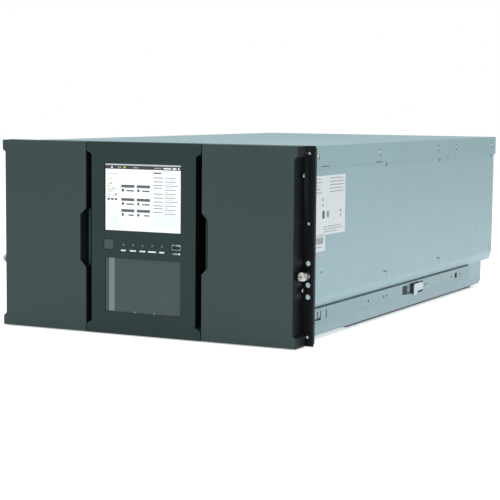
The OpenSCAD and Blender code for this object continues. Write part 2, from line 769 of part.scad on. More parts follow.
// Shaft with a pinion at each end
module lift_shaft(y) {
    rod_x(-rack_half + 1, rack_half - 1, y, shaft_z, shaft_r);
    both_sides()
        translate([rack_half - rack_w + 0.5, y, shaft_z]) rotate([90, 0, 90])
            linear_extrude(rack_w - 1.5) rotate(90) pinion_outline();
}
module front_shaft() color("silver") lift_shaft(front_shaft_y);
module rear_shaft() color("silver") lift_shaft(rear_shaft_y);

// Side beams, which carry the shafts and the carriage
lug_r = 8;
module lift_beams() color("lightgray") both_sides() difference() {
    union() {
        block([beam_in, front_shaft_y, beam_bottom], [beam_in + beam_t, rear_shaft_y, beam_top]);
        for (y = [front_shaft_y, rear_shaft_y]) {
            rod_x(beam_in, beam_in + beam_t, y, shaft_z, lug_r);
            block([beam_in, y - lug_r, beam_bottom], [beam_in + beam_t, y + lug_r, shaft_z]);
        }
    }
    for (y = [front_shaft_y, rear_shaft_y])
        rod_x(beam_in - over, beam_in + beam_t + over, y, shaft_z, shaft_r + shaft_gap);
}
module lift_crossbars() color("lightgray") {
    for (y = [front_shaft_y + 6, rear_shaft_y - 18])
        block([-beam_in, y, beam_bottom], [beam_in, y + 12, beam_top]);
}

// Carriage: a plate on the beams, with runners inside them and the picker's bearing
carriage_l = cart_w + 18;
runner_t = 3;
module carriage() color("#3d4245") difference() {
    union() {
        block([-beam_in - beam_t, pocket_y - carriage_l / 2, plate_z],
              [beam_in + beam_t, pocket_y + carriage_l / 2, plate_z + plate_t]);
        both_sides()
            block([beam_in - run_gap - runner_t, pocket_y - carriage_l / 2, beam_bottom + 0.5],
                  [beam_in - run_gap, pocket_y + carriage_l / 2, plate_z]);
        translate([0, pocket_y, beam_bottom + 0.5])
            cylinder(h = plate_z - beam_bottom - 0.5, r = hub_r + 5);
    }
    translate([0, pocket_y, beam_bottom - over])
        cylinder(h = picker_z - beam_bottom + 2 * over, r = hub_r + shaft_gap, $fn = 96);
}

// Picker: a turning tray with two cheeks, which takes one cartridge
cheek_t = 2;
picker_w = cart_l + 2 * (picker_room + cheek_t);
picker_l = cart_w + picker_tail;
cheek_top = pocket_z + cart_h / 2 + 0.75;
module picker() color("#56606a") {
    difference() {
        intersection() {
            translate([0, pocket_y, picker_z]) cylinder(h = cheek_top - picker_z + over, r = picker_turn_r, $fn = 96);
            block([-picker_w / 2, pocket_y - picker_l / 2, picker_z],
                  [picker_w / 2, pocket_y + picker_l / 2, cheek_top]);
        }
        block([-picker_w / 2 + cheek_t, pocket_y - picker_l, picker_z + picker_t],
              [picker_w / 2 - cheek_t, pocket_y + picker_l, cheek_top + over]);
    }
    translate([0, pocket_y, beam_bottom + 1.5])
        cylinder(h = picker_z - beam_bottom - 1.5, r = hub_r, $fn = 96);
}

// Gripper: a block across the picker's tail, with a spring finger along each cheek
finger_t = 1;
finger_l = 28;
grip_block_l = 22;
module gripper() color("#8f979c") {
    half = picker_w / 2 - cheek_t - run_gap;
    z0 = picker_z + picker_t + run_gap;
    tail = pocket_y - picker_l / 2 + 3;
    fingers = tail + grip_block_l;
    block([-half, tail, z0], [half, fingers, pocket_z + 8]);
    both_sides()
        block([half - finger_t, fingers, pocket_z - 6], [half, fingers + finger_l, pocket_z + 6]);
}

// ---- Rear ----

// Walls of the drive bay, with the ledges that the drives rest on
module drive_bay_walls() color("gainsboro") both_sides() {
    along_x(bay_half, bay_half + sheet) polygon([
        [bay_front, floor_z],
        [rear_y - tray_slant_l - sheet, floor_z],
        [rear_y, rear_floor_z],
        [rear_y, ceiling_z],
        [bay_front, ceiling_z]
    ]);
    for (i = [0 : bays - 1])
        block([bay_half - 8, drive_front, drive_z0 + i * drive_pitch - 0.6],
              [bay_half, rear_y, drive_z0 + i * drive_pitch]);
}

// Tape drive in its canister: mouth at the front, face plate and handle at the rear
drive_h = drive_pitch - 0.6 - run_gap;
plate_rear = 2;
mouth_h = cart_h + 2.5;
module tape_drive(i) {
    z0 = drive_z0 + i * drive_pitch;
    zc = z0 + drive_h / 2;
    difference() {
        block([-drive_w / 2, drive_front, z0], [drive_w / 2, rear_y + plate_rear, z0 + drive_h]);
        block([-cart_l / 2 - 1, drive_front - over, zc - mouth_h / 2], [cart_l / 2 + 1, drive_front + 100, zc + mouth_h / 2]);
    }
    pull_handle(-52, zc, 30);
}

// Pull handle: a bent strap that stands out of a rear face
handle_out = 26;
module pull_handle(x, z, w) {
    y = rear_y + plate_rear;
    for (s = [-1, 1])
        block([x + s * w / 2 - 1, y, z - 5], [x + s * w / 2 + 1, y + handle_out, z + 5]);
    block([x - w / 2 - 1, y + handle_out - 2, z - 5], [x + w / 2 + 1, y + handle_out, z + 5]);
}
module tape_drive_1() color("silver") tape_drive(0);
module tape_drive_2() color("silver") tape_drive(1);
module tape_drive_3() color("silver") tape_drive(2);

// Blank plates over the empty drive bays
module drive_blanks() color("gainsboro")
    for (i = [drives : bays - 1])
        block([-drive_w / 2, rear_y, drive_z0 + i * drive_pitch],
              [drive_w / 2, rear_y + plate_rear, drive_z0 + i * drive_pitch + drive_h]);

// Shelves beside the drive bay, under and between the modules
module rear_shelves() color("gainsboro") both_sides()
    for (i = [0, 1])
        block([bay_half + sheet, bay_front, psu_z(i) - sheet], [tray_half - sheet, rear_y - 2 * sheet, psu_z(i)]);

// Rear panel: one sheet with a bay for each module
module rear_panel() color("lightsteelblue") difference() {
    block([-tray_half + sheet, rear_y - sheet, rear_floor_z - sheet / 2],
          [tray_half - sheet, rear_y, ceiling_z]);
    block([-bay_half - sheet, rear_y - over - sheet, 0], [bay_half + sheet, rear_y + over, ceiling_z + over]);
    for (i = [0, 1])
        block([-psu_x - psu_w / 2 - run_gap, rear_y - over - sheet, psu_z(i)],
              [-psu_x + psu_w / 2 + run_gap, rear_y + over, psu_z(i) + psu_h + run_gap]);
    block([psu_x - psu_w / 2 - run_gap, rear_y - over - sheet, psu_z(0)],
          [psu_x + psu_w / 2 + run_gap, rear_y + over, psu_z(0) + psu_h + run_gap]);
}

// Power supply with its fan pocket and its handle
fan_x = -psu_x - 28;
inlet_x = -psu_x + 30;
inlet_w = 27;
inlet_h = 20;
module power_supply(i) {
    z0 = psu_z(i);
    zc = z0 + psu_h / 2;
    difference() {
        block([-psu_x - psu_w / 2, rear_y - psu_len, z0], [-psu_x + psu_w / 2, rear_y + plate_rear, z0 + psu_h]);
        rod_y(rear_y - 14, rear_y + plate_rear + over, fan_x, zc, fan_r + 1);
        rod_y(rear_y - 20, rear_y, fan_x, zc, 1.5 + shaft_gap);
        block([inlet_x - inlet_w / 2, rear_y - 18, zc - inlet_h / 2],
              [inlet_x + inlet_w / 2, rear_y + plate_rear + over, zc + inlet_h / 2]);
    }
    pull_handle(-psu_x + 3, zc, 12);
}
module power_supply_1() color("silver") power_supply(0);
module power_supply_2() color("silver") power_supply(1);

// Fan: hub, seven blades and the pin that turns in the supply
module supply_fan(i) {
    zc = psu_z(i) + psu_h / 2;
    translate([fan_x, rear_y - 13.5, zc]) rotate([-90, 0, 0]) {
        cylinder(h = 11, r = 7);
        translate([0, 0, -5]) cylinder(h = 6, r = 1.5);
        for (a = [0 : 6])
            rotate(a * 360 / 7) translate([0, 0, 5.5]) rotate([35, 0, 0])
                translate([6, -5, -0.6]) cube([fan_r - 6.6, 10, 1.2]);
    }
}
module supply_fan_1() color("#222426") supply_fan(0);
module supply_fan_2() color("#222426") supply_fan(1);

// Fan guards: wire rings on four spokes
module fan_guards() color("silver") for (i = [0, 1]) {
    zc = psu_z(i) + psu_h / 2;
    y = rear_y + plate_rear;
    translate([fan_x, y, zc]) rotate([-90, 0, 0]) {
        for (r = [5, 9.5, 14])
            difference() {
                cylinder(h = 1.4, r = r + 0.7);
                translate([0, 0, -over]) cylinder(h = 1.4 + 2 * over, r = r - 0.7);
            }
        for (a = [45, 135])
            rotate(a) translate([-fan_r - 3, -0.7, 0]) cube([2 * fan_r + 6, 1.4, 1.4]);
    }
}

// Power inlets: a socket with three blades
module power_inlets() color("#1a1c1e") for (i = [0, 1]) {
    zc = psu_z(i) + psu_h / 2;
    difference() {
        block([inlet_x - inlet_w / 2, rear_y - 18, zc - inlet_h / 2],
              [inlet_x + inlet_w / 2, rear_y + plate_rear, zc + inlet_h / 2]);
        block([inlet_x - 12, rear_y - 14, zc - 8], [inlet_x + 12, rear_y + plate_rear + over, zc + 8]);
    }
    for (p = [[-7, -2], [0, 2], [7, -2]])
        block([inlet_x + p[0] - 1, rear_y - 14, zc + p[1] - 2], [inlet_x + p[0] + 1, rear_y, zc + p[1] + 2]);
}

// Controller module, with the openings for its ports
port_w = 16;
port_h = 13.5;
port_xs = [psu_x - 30, psu_x - 10];
controller_zc = psu_z(0) + psu_h / 2;
module controller() color("silver") {
    difference() {
        block([psu_x - psu_w / 2, rear_y - psu_len, psu_z(0)],
              [psu_x + psu_w / 2, rear_y + plate_rear, psu_z(0) + psu_h]);
        for (x = port_xs)
            block([x - port_w / 2, rear_y - 20, controller_zc - port_h / 2],
                  [x + port_w / 2, rear_y + plate_rear + over, controller_zc + port_h / 2]);
    }
    pull_handle(psu_x + 30, controller_zc, 24);
}
module network_ports() color("silver") for (x = port_xs) difference() {
    block([x - port_w / 2, rear_y - 20, controller_zc - port_h / 2],
          [x + port_w / 2, rear_y + plate_rear + 0.5, controller_zc + port_h / 2]);
    block([x - 6, rear_y - 16, controller_zc - 4.5], [x + 6, rear_y + plate_rear + over, controller_zc + 4]);
}

base_tray();
glide_strips();
side_panel_left();
side_panel_right();
side_rail_left();
side_rail_right();
rail_latch_left();
rail_latch_right();
top_cover();
rear_cover();
rear_panel();
rack_ear_left();
rack_ear_right();
thumbscrew_collars();
thumbscrew_left();
thumbscrew_right();
front_frame();
centre_panel();
touch_screen();
power_button();
status_lights();
usb_port();
window_pane();
panel_board();
door_left();
door_right();
magazine_left();
magazine_right();
slot_combs_left();
slot_combs_right();
cartridges_left();
cartridges_right();
magazine_guides();
bay_bulkheads();
lift_racks();
rack_posts();
lift_beams();
lift_crossbars();
front_shaft();
rear_shaft();
carriage();
picker();
gripper();
drive_bay_walls();
tape_drive_1();
tape_drive_2();
tape_drive_3();
drive_blanks();
rear_shelves();
power_supply_1();
power_supply_2();
supply_fan_1();
supply_fan_2();
fan_guards();
power_inlets();
controller();
network_ports();
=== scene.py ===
# A rack-mounted data tape library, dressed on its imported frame. Metres, Z up, front at -Y.
import math
import bpy
import bmesh
from mathutils import Matrix, Vector


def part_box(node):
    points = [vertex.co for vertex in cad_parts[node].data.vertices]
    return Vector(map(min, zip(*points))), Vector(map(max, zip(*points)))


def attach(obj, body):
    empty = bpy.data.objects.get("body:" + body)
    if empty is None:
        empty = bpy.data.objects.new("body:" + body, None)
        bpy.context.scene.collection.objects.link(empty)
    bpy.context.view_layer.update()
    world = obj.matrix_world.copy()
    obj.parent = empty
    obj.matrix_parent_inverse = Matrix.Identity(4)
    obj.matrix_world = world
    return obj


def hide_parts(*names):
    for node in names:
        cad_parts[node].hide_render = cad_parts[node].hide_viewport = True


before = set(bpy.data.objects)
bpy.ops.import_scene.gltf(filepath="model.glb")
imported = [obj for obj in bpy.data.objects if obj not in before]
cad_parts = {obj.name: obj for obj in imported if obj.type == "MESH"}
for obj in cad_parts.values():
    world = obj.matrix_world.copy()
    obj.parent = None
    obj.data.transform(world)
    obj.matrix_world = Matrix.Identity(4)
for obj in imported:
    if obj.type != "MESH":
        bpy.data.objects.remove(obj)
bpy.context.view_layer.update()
mm = 0.001


# Surface skin: what paint, plating and mouldings share. A fine grain, a slow drift of tone,
# smudges in the gloss, and edges rubbed lighter.
def group_tree(name, kind, ins, outs):
    """A node group with named sockets: its tree, its input node and its output node."""
    tree = bpy.data.node_groups.new(name, kind)
    for label, socket_type, value in ins:
        socket = tree.interface.new_socket(name=label, in_out="INPUT", socket_type=socket_type)
        if value is not None:
            socket.default_value = value
    for label, socket_type in outs:
        tree.interface.new_socket(name=label, in_out="OUTPUT", socket_type=socket_type)
    return tree, tree.nodes.new("NodeGroupInput"), tree.nodes.new("NodeGroupOutput")


def math_node(tree, operation, a, b=0.5, clamp=False):
    """A Math node fed by sockets or numbers, and its result."""
    node = tree.nodes.new("ShaderNodeMath")
    node.operation = operation
    node.use_clamp = clamp
    for socket, value in zip(node.inputs, (a, b)):
        if isinstance(value, (int, float)):
            socket.default_value = value
        else:
            tree.links.new(value, socket)
    return node.outputs[0]


def swing(tree, value, gain):
    """A noise's swing about its middle, times a gain."""
    return math_node(tree, "MULTIPLY", math_node(tree, "SUBTRACT", value, 0.5), gain)


def noise(tree, place, scale, detail=3.0, roughness=0.55):
    """A noise that reads the given place, and its value."""
    node = tree.nodes.new("ShaderNodeTexNoise")
    node.inputs["Detail"].default_value = detail
    node.inputs["Roughness"].default_value = roughness
    if isinstance(scale, (int, float)):
        node.inputs["Scale"].default_value = scale
    else:
        tree.links.new(scale, node.inputs["Scale"])
    tree.links.new(place, node.inputs["Vector"])
    return node.outputs["Fac"]


skin_tree, skin_in, skin_out = group_tree(
    "Surface skin", "ShaderNodeTree",
    [("Place", "NodeSocketVector", None), ("Colour", "NodeSocketColor", (0.5, 0.5, 0.5, 1.0)),
     ("Worn colour", "NodeSocketColor", (0.6, 0.6, 0.6, 1.0)), ("Gloss loss", "NodeSocketFloat", 0.4),
     ("Grain size", "NodeSocketFloat", 900.0), ("Grain tone", "NodeSocketFloat", 0.06),
     ("Drift", "NodeSocketFloat", 0.08), ("Wear", "NodeSocketFloat", 0.2)],
    [("Colour", "NodeSocketColor"), ("Roughness", "NodeSocketFloat"), ("Height", "NodeSocketFloat")])
given = skin_in.outputs
grain = noise(skin_tree, given["Place"], given["Grain size"], 2.0)
slow = noise(skin_tree, given["Place"], 7.0, 4.0)
smudge = noise(skin_tree, given["Place"], 34.0, 5.0, 0.65)
both_tones = math_node(skin_tree, "ADD", swing(skin_tree, grain, given["Grain tone"]),
                       swing(skin_tree, slow, given["Drift"]))
tinted = skin_tree.nodes.new("ShaderNodeVectorMath")
tinted.operation = "SCALE"
skin_tree.links.new(given["Colour"], tinted.inputs[0])
skin_tree.links.new(math_node(skin_tree, "ADD", both_tones, 1.0), tinted.inputs["Scale"])
edges = skin_tree.nodes.new("ShaderNodeNewGeometry").outputs["Pointiness"]
edges = math_node(skin_tree, "MULTIPLY", math_node(skin_tree, "SUBTRACT", edges, 0.515), 14.0, clamp=True)
edges = math_node(skin_tree, "MULTIPLY", math_node(skin_tree, "MULTIPLY", edges, smudge), given["Wear"],
                  clamp=True)
rubbed = skin_tree.nodes.new("ShaderNodeMix")
rubbed.data_type = "RGBA"
mix_factor, mix_first, mix_second = rubbed.inputs[0], rubbed.inputs[6], rubbed.inputs[7]
mix_result = rubbed.outputs[2]
skin_tree.links.new(edges, mix_factor)
skin_tree.links.new(tinted.outputs[0], mix_first)
skin_tree.links.new(given["Worn colour"], mix_second)
skin_tree.links.new(mix_result, skin_out.inputs["Colour"])
smudged = math_node(skin_tree, "ADD", given["Gloss loss"], swing(skin_tree, smudge, 0.16), clamp=True)
skin_tree.links.new(smudged, skin_out.inputs["Roughness"])
skin_tree.links.new(grain, skin_out.inputs["Height"])


def linear(r, g, b):
    """A screen colour, 0 to 255, as linear light."""
    return tuple(((c / 255 + 0.055) / 1.055) ** 2.4 if c > 10 else c / 3294 for c in (r, g, b))


def surface(name, colour, gloss_loss, metallic=0.0, grain=900.0, grain_tone=0.06, drift=0.08, relief=0.00002,
            stretch=(1.0, 1.0, 1.0), wear=0.2, worn=(0.5, 0.5, 0.5), shine=0.5):
    """A material on the surface skin, with its own colour, gloss, grain and wear."""
    material = bpy.data.materials.new(name)
    material.use_nodes = True
    tree = material.node_tree
    shader = tree.nodes["Principled BSDF"]
    place = tree.nodes.new("ShaderNodeTexCoord")
    mapping = tree.nodes.new("ShaderNodeMapping")
    mapping.inputs["Scale"].default_value = stretch
    skin = tree.nodes.new("ShaderNodeGroup")
    skin.name = "skin"
    skin.node_tree = skin_tree
    skin.inputs["Colour"].default_value = (*colour, 1.0)
    skin.inputs["Worn colour"].default_value = (*worn, 1.0)
    for label, value in (("Gloss loss", gloss_loss), ("Grain size", grain), ("Grain tone", grain_tone),
                         ("Drift", drift), ("Wear", wear)):
        skin.inputs[label].default_value = value
    bump = tree.nodes.new("ShaderNodeBump")
    bump.inputs["Strength"].default_value = 0.6
    bump.inputs["Distance"].default_value = relief
    tree.links.new(place.outputs["Object"], mapping.inputs["Vector"])
    tree.links.new(mapping.outputs[0], skin.inputs["Place"])
    tree.links.new(skin.outputs["Colour"], shader.inputs["Base Color"])
    tree.links.new(skin.outputs["Roughness"], shader.inputs["Roughness"])
    tree.links.new(skin.outputs["Height"], bump.inputs["Height"])
    tree.links.new(bump.outputs[0], shader.inputs["Normal"])
    shader.inputs["Metallic"].default_value = metallic
    shader.inputs["Specular IOR Level"].default_value = shine
    return material


# The floor is one pale sheet that runs far past the case, so that no edge of it shows.
# It is matt, with a faint drift in its tone and a little light of its own.
def mesh_piece(name, verts, faces):
    """A new object whose place is in its mesh."""
    mesh = bpy.data.meshes.new(name)
    mesh.from_pydata([tuple(v) for v in verts], [], faces)
    mesh.update()
    piece = bpy.data.objects.new(name, mesh)
    bpy.context.collection.objects.link(piece)
    return piece


def glowing(material, colour, strength):
    """The material with a faint light of its own."""
    shader = material.node_tree.nodes["Principled BSDF"]
    shader.inputs["Emission Color"].default_value = (*colour, 1.0)
    shader.inputs["Emission Strength"].default_value = strength
    return material


floor = mesh_piece("floor", [(-9, -9, 0), (9, -9, 0), (9, 9, 0), (-9, 9, 0)], [(0, 1, 2, 3)])
pale_floor = surface("pale floor", (0.90, 0.91, 0.92), 0.7, grain=60.0, grain_tone=0.01, drift=0.01,
                     relief=0.0, wear=0.0)
floor.data.materials.append(glowing(pale_floor, (1.0, 1.0, 1.0), 0.5))

# Soft studio light: a pale room all round, a broad box overhead, a side box on the right
# that lifts the long side wall, and a weak one for the front. Seen directly, the room is white.
world = bpy.data.worlds.new("studio")
bpy.context.scene.world = world
world.use_nodes = True
sky = world.node_tree
room = sky.nodes["Background"]
room.inputs["Color"].default_value = (0.95, 0.98, 1.0, 1.0)
room.inputs["Strength"].default_value = 0.54
backdrop = sky.nodes.new("ShaderNodeBackground")
backdrop.inputs["Color"].default_value = (1.0, 1.0, 1.0, 1.0)
either = sky.nodes.new("ShaderNodeMixShader")
rays = sky.nodes.new("ShaderNodeLightPath")
sky.links.new(rays.outputs["Is Camera Ray"], either.inputs[0])
sky.links.new(room.outputs[0], either.inputs[1])
sky.links.new(backdrop.outputs[0], either.inputs[2])
sky.links.new(either.outputs[0], sky.nodes["World Output"].inputs["Surface"])
for name, place, target, size, power in (
        ("overhead box", (0.1, -0.2, 2.6), (0.0, 0.0, 0.1), 2.4, 92.0),
        ("side box", (2.9, 0.5, 1.3), (0.2, 0.0, 0.1), 1.6, 3.0),
        ("front box", (1.1, -1.9, 1.5), (0.1, -0.4, 0.2), 1.2, 4.5)):
    light = bpy.data.lights.new(name, "AREA")
    light.size = size
    light.energy = power
    lamp = bpy.data.objects.new(name, light)
    lamp.location = place
    lamp.rotation_euler = (Vector(target) - Vector(place)).to_track_quat("-Z", "Y").to_euler()
    bpy.context.collection.objects.link(lamp)
bpy.context.scene.view_settings.view_transform = "Standard"

# The camera stands right of the front, a little above the case, and looks slightly down.
camera = bpy.data.objects.new("camera", bpy.data.cameras.new("camera"))
bpy.context.collection.objects.link(camera)
camera.data.sensor_width = 36.0
camera.data.lens = 109.404
camera.data.clip_end = 60.0
stand = (1.04850, -2.20568, 0.319615)
yaw, pitch, roll = 0.4626394, -0.0961472, 0.0090513
ahead = Vector((-math.sin(yaw) * math.cos(pitch), math.cos(yaw) * math.cos(pitch), math.sin(pitch)))
right = Vector((math.cos(yaw), math.sin(yaw), 0.0))
upward = right.cross(ahead)
camera_x = right * math.cos(roll) + upward * math.sin(roll)
camera_y = upward * math.cos(roll) - right * math.sin(roll)
camera.matrix_world = Matrix.Translation(stand) @ Matrix((camera_x, camera_y, -ahead)).transposed().to_4x4()
bpy.context.scene.camera = camera


# The case: pre-coated sheet steel, pale blue-grey and satin, folded and screwed together.
# Tray, side panels, covers and rear panel are cut and bent from the same sheet.
weld = 2e-6  # vertices nearer than this are one


def softened(node, name, edge, material, steps=2, body="chassis", second=None, where=None):
    """The CAD node's shape with its edges rounded, as bent, cast or moulded ones are.
    The faces that where() picks by centre and normal take the second material."""
    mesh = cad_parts[node].data.copy()
    mesh.name = name
    piece = bpy.data.objects.new(name, mesh)
    bpy.context.collection.objects.link(piece)
    shape = bmesh.new()
    shape.from_mesh(mesh)
    bmesh.ops.remove_doubles(shape, verts=shape.verts, dist=weld)
    bmesh.ops.dissolve_limit(shape, angle_limit=0.01, verts=shape.verts, edges=shape.edges)
    for face in shape.faces:
        face.smooth = False
        face.material_index = int(where is not None and where(face.calc_center_median(), face.normal))
    mesh.materials.clear()
    mesh.materials.append(material)
    if second:
        mesh.materials.append(second)
    shape.to_mesh(mesh)
    shape.free()
    if mesh.attributes.get("custom_normal"):
        mesh.attributes.remove(mesh.attributes["custom_normal"])
    bevel = piece.modifiers.new("rounded edges", "BEVEL")
    bevel.width = edge
    bevel.segments = steps
    bevel.limit_method = "ANGLE"
    bevel.angle_limit = math.radians(30)
    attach(piece, body)
    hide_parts(node)
    return piece


steel = surface("coated steel", linear(124, 151, 157), 0.42, metallic=0.2, grain=1400.0, grain_tone=0.05,
                drift=0.07, wear=0.0)
cover_steel = surface("cover steel", linear(121, 149, 153), 0.40, metallic=0.2, grain=1400.0, grain_tone=0.05,
                      drift=0.07, wear=0.0)
for node, name, sheet_edge, sheet in (
        ("side_panel_left", "left_side_sheet", 0.25, steel),
        ("side_panel_right", "right_side_sheet", 0.25, steel),
        ("base_tray", "tray_sheet", 0.25, steel),
        ("top_cover", "front_cover_sheet", 0.3, cover_steel),
        ("rear_cover", "rear_cover_sheet", 0.3, cover_steel),
        ("rear_panel", "rear_sheet", 0.2, steel)):
    softened(node, name, sheet_edge * mm, sheet)


# Screws hold the covers' flanges on both sides, and the front cover's flange has two slits low down.
# Under the flanges the wall has stamped square holes, and two small round ones low at the rear.
def placed(tree, inputs, instance, material):
    """Instances of a shape on the points that came in, realized, with their material set."""
    put = tree.nodes.new("GeometryNodeInstanceOnPoints")
    real = tree.nodes.new("GeometryNodeRealizeInstances")
    skin = tree.nodes.new("GeometryNodeSetMaterial")
    tree.links.new(inputs.outputs["Geometry"], put.inputs["Points"])
    tree.links.new(instance, put.inputs["Instance"])
    tree.links.new(inputs.outputs["Turn"], put.inputs["Rotation"])
    tree.links.new(put.outputs[0], real.inputs[0])
    tree.links.new(real.outputs[0], skin.inputs["Geometry"])
    tree.links.new(inputs.outputs[material], skin.inputs["Material"])
    return skin.outputs[0]


def scatter_tree(name, *extra):
    """A Geometry Nodes tree that takes points, a turn and its own named inputs."""
    ins = [("Geometry", "NodeSocketGeometry", None), ("Turn", "NodeSocketRotation", None)]
    return group_tree(name, "GeometryNodeTree", ins + [(label, kind, None) for label, kind in extra],
                      [("Geometry", "NodeSocketGeometry")])


def six_sided(tree, radius):
    """A flat six-sided shape of the given radius."""
    node = tree.nodes.new("GeometryNodeMeshCircle")
    node.fill_type = "NGON"
    node.inputs["Vertices"].default_value = 6
    tree.links.new(radius, node.inputs["Radius"])
    return node.outputs[0]


# Fasteners: a tapered pan head, with a flat six-sided patch of painted shade just over its top for its
# socket.
fasteners, wanted, result = scatter_tree(
    "Fasteners", ("Radius", "NodeSocketFloat"), ("Height", "NodeSocketFloat"),
    ("Metal", "NodeSocketMaterial"), ("Dark", "NodeSocketMaterial"))
radius, height = wanted.outputs["Radius"], wanted.outputs["Height"]
head = fasteners.nodes.new("GeometryNodeMeshCone")
head.inputs["Vertices"].default_value = 28
fasteners.links.new(math_node(fasteners, "MULTIPLY", radius, 0.74), head.inputs["Radius Top"])
fasteners.links.new(radius, head.inputs["Radius Bottom"])
fasteners.links.new(height, head.inputs["Depth"])
raised = fasteners.nodes.new("GeometryNodeTransform")
above = fasteners.nodes.new("ShaderNodeCombineXYZ")
fasteners.links.new(math_node(fasteners, "MULTIPLY", height, 1.03), above.inputs["Z"])
recess = six_sided(fasteners, math_node(fasteners, "MULTIPLY", radius, 0.42))
fasteners.links.new(recess, raised.inputs["Geometry"])
fasteners.links.new(above.outputs[0], raised.inputs["Translation"])
both = fasteners.nodes.new("GeometryNodeJoinGeometry")
fasteners.links.new(placed(fasteners, wanted, head.outputs["Mesh"], "Metal"), both.inputs[0])
fasteners.links.new(placed(fasteners, wanted, raised.outputs[0], "Dark"), both.inputs[0])
fasteners.links.new(both.outputs[0], result.inputs[0])

# Bars: one small block of a given size on each point, for ribs, labels and light pipes, and for patches
# of painted shade in slits, holes and gaps.
bars, wanted, result = scatter_tree("Bars", ("Size", "NodeSocketVector"), ("Material", "NodeSocketMaterial"))
block = bars.nodes.new("GeometryNodeMeshCube")
bars.links.new(wanted.outputs["Size"], block.inputs["Size"])
bars.links.new(placed(bars, wanted, block.outputs["Mesh"], "Material"), result.inputs[0])

# Hole field: a flat six-sided patch of painted shade on each point, where a hole is.
hole_field, wanted, result = scatter_tree("Hole field", ("Radius", "NodeSocketFloat"),
                                          ("Material", "NodeSocketMaterial"))
hole = six_sided(hole_field, wanted.outputs["Radius"])
hole_field.links.new(placed(hole_field, wanted, hole, "Material"), result.inputs[0])

level = (0.0, 0.0, 0.0)
turn_to = {"+x": (0.0, math.pi / 2, 0.0), "-x": (0.0, -math.pi / 2, 0.0), "+y": (-math.pi / 2, 0.0, 0.0)}


def repeated(name, tree, places, body="chassis", slot=None, **inputs):
    """A piece made by a Geometry Nodes tree on a list of places, kept as a plain mesh."""
    piece = mesh_piece(name, places, [])
    modifier = piece.modifiers.new("repeat", "NODES")
    modifier.node_group = tree
    for item in tree.interface.items_tree:
        if item.in_out == "INPUT" and item.name in inputs:
            modifier[item.identifier] = inputs[item.name]
    bpy.context.view_layer.update()
    made = bpy.data.meshes.new_from_object(piece.evaluated_get(bpy.context.evaluated_depsgraph_get()))
    piece.modifiers.clear()
    piece.data = made
    made.name = name
    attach(piece, body)
    return piece


# Flat dark patches in this material are painted shade, where holes, slits, sockets and gaps would be dark
# inside.
shade = surface("painted shade", linear(16, 20, 21), 0.7, wear=0.0)
nickel = surface("bright nickel", linear(168, 170, 166), 0.24, metallic=1.0, grain=1500.0, grain_tone=0.04,
                 wear=0.2, worn=linear(240, 240, 236))
flange_x, wall_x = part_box("top_cover")[1].x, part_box("side_panel_right")[1].x
front_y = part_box("door_right")[0].y
screw_z, square_z, slit_z = 0.2525, 0.2313, 0.2362
screw_d = (0.081, 0.302, 0.558, 0.645, 0.8366)  # distances from the doors' front
square_d, slit_d = (0.3315, 0.567, 0.8375), (0.105, 0.300)
small_holes = ((0.803, 0.0692), (0.8367, 0.0699))
square_a, slit_l, slit_h, skin_t = 4 * mm, 26 * mm, 0.9 * mm, 0.06 * mm
# The flange slits, the stamped square holes and the small round holes are flat dark patches of painted shade.
for sign, side, facing in ((1, "right", "+x"), (-1, "left", "-x")):
    repeated(f"{side}_flange_screws", fasteners, [(sign * flange_x, front_y + d, screw_z) for d in screw_d],
             slot="nickel", Turn=turn_to[facing], Radius=3.1 * mm, Height=1.1 * mm, Metal=nickel, Dark=shade)
    repeated(f"{side}_stamped_squares", bars,
             [(sign * (wall_x + 0.01 * mm), front_y + d, square_z) for d in square_d],
             Turn=level, Size=(skin_t, square_a, square_a), Material=shade)
    repeated(f"{side}_small_holes", hole_field,
             [(sign * (wall_x + 0.03 * mm), front_y + d, z) for d, z in small_holes],
             Turn=turn_to[facing], Radius=1.6 * mm, Material=shade)
    repeated(f"{side}_flange_slits", bars,
             [(sign * (flange_x + 0.01 * mm), front_y + d, slit_z) for d in slit_d],
             Turn=level, Size=(skin_t, slit_l, slit_h), Material=shade)


# Paper labels on the right wall: one large with rows and small blocks, one small below it with bars.
across_of = {"-y": (1, 0, 0), "+x": (0, 1, 0), "-x": (0, -1, 0)}


def marks(name, place, facing, items, material, body="chassis"):
    """Flat marks on an upright plane: print, a lit picture, painted shade and painted highlights. place is
    its upper left corner, and each item is (left, top, width, height, colour) in metres from that corner."""
    corner, across, up = Vector(place), Vector(across_of[facing]), Vector((0, 0, 1))
    verts, faces = [], []
    for left, top, width, height, _ in items:
        start = len(verts)
        for s, t in ((left, top + height), (left + width, top + height), (left + width, top), (left, top)):
            verts.append(corner + across * s - up * t)
        faces.append((start, start + 1, start + 2, start + 3))
    piece = mesh_piece(name, verts, faces)
    mark_colour = piece.data.color_attributes.new("mark_colour", "FLOAT_COLOR", "CORNER")
    for face, item in zip(piece.data.polygons, items):
        for corner_index in face.loop_indices:
            mark_colour.data[corner_index].color = (*item[4], 1.0)
    piece.data.materials.append(material)
    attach(piece, body)
    return piece


def rows(left, top, pitch, widths, height, colour, count):
    """Printed rows under one another, whose widths repeat."""
    return [(left, top + pitch * k, widths[k % len(widths)], height, colour) for k in range(count)]


def mark_coloured(name, roughness, glow=0.0):
    """A material that takes its colour from each mark's own colour attribute, with a slight grain."""
    material = surface(name, (1.0, 1.0, 1.0), roughness, grain=2500.0, grain_tone=0.02, drift=0.02,
                       relief=0.000005, wear=0.0)
    tree = material.node_tree
    mark_colour = tree.nodes.new("ShaderNodeAttribute")
    mark_colour.attribute_name = "mark_colour"
    tree.links.new(mark_colour.outputs["Color"], tree.nodes["skin"].inputs["Colour"])
    if glow:
        shader = tree.nodes["Principled BSDF"]
        tree.links.new(mark_colour.outputs["Color"], shader.inputs["Emission Color"])
        shader.inputs["Emission Strength"].default_value = glow
    return material
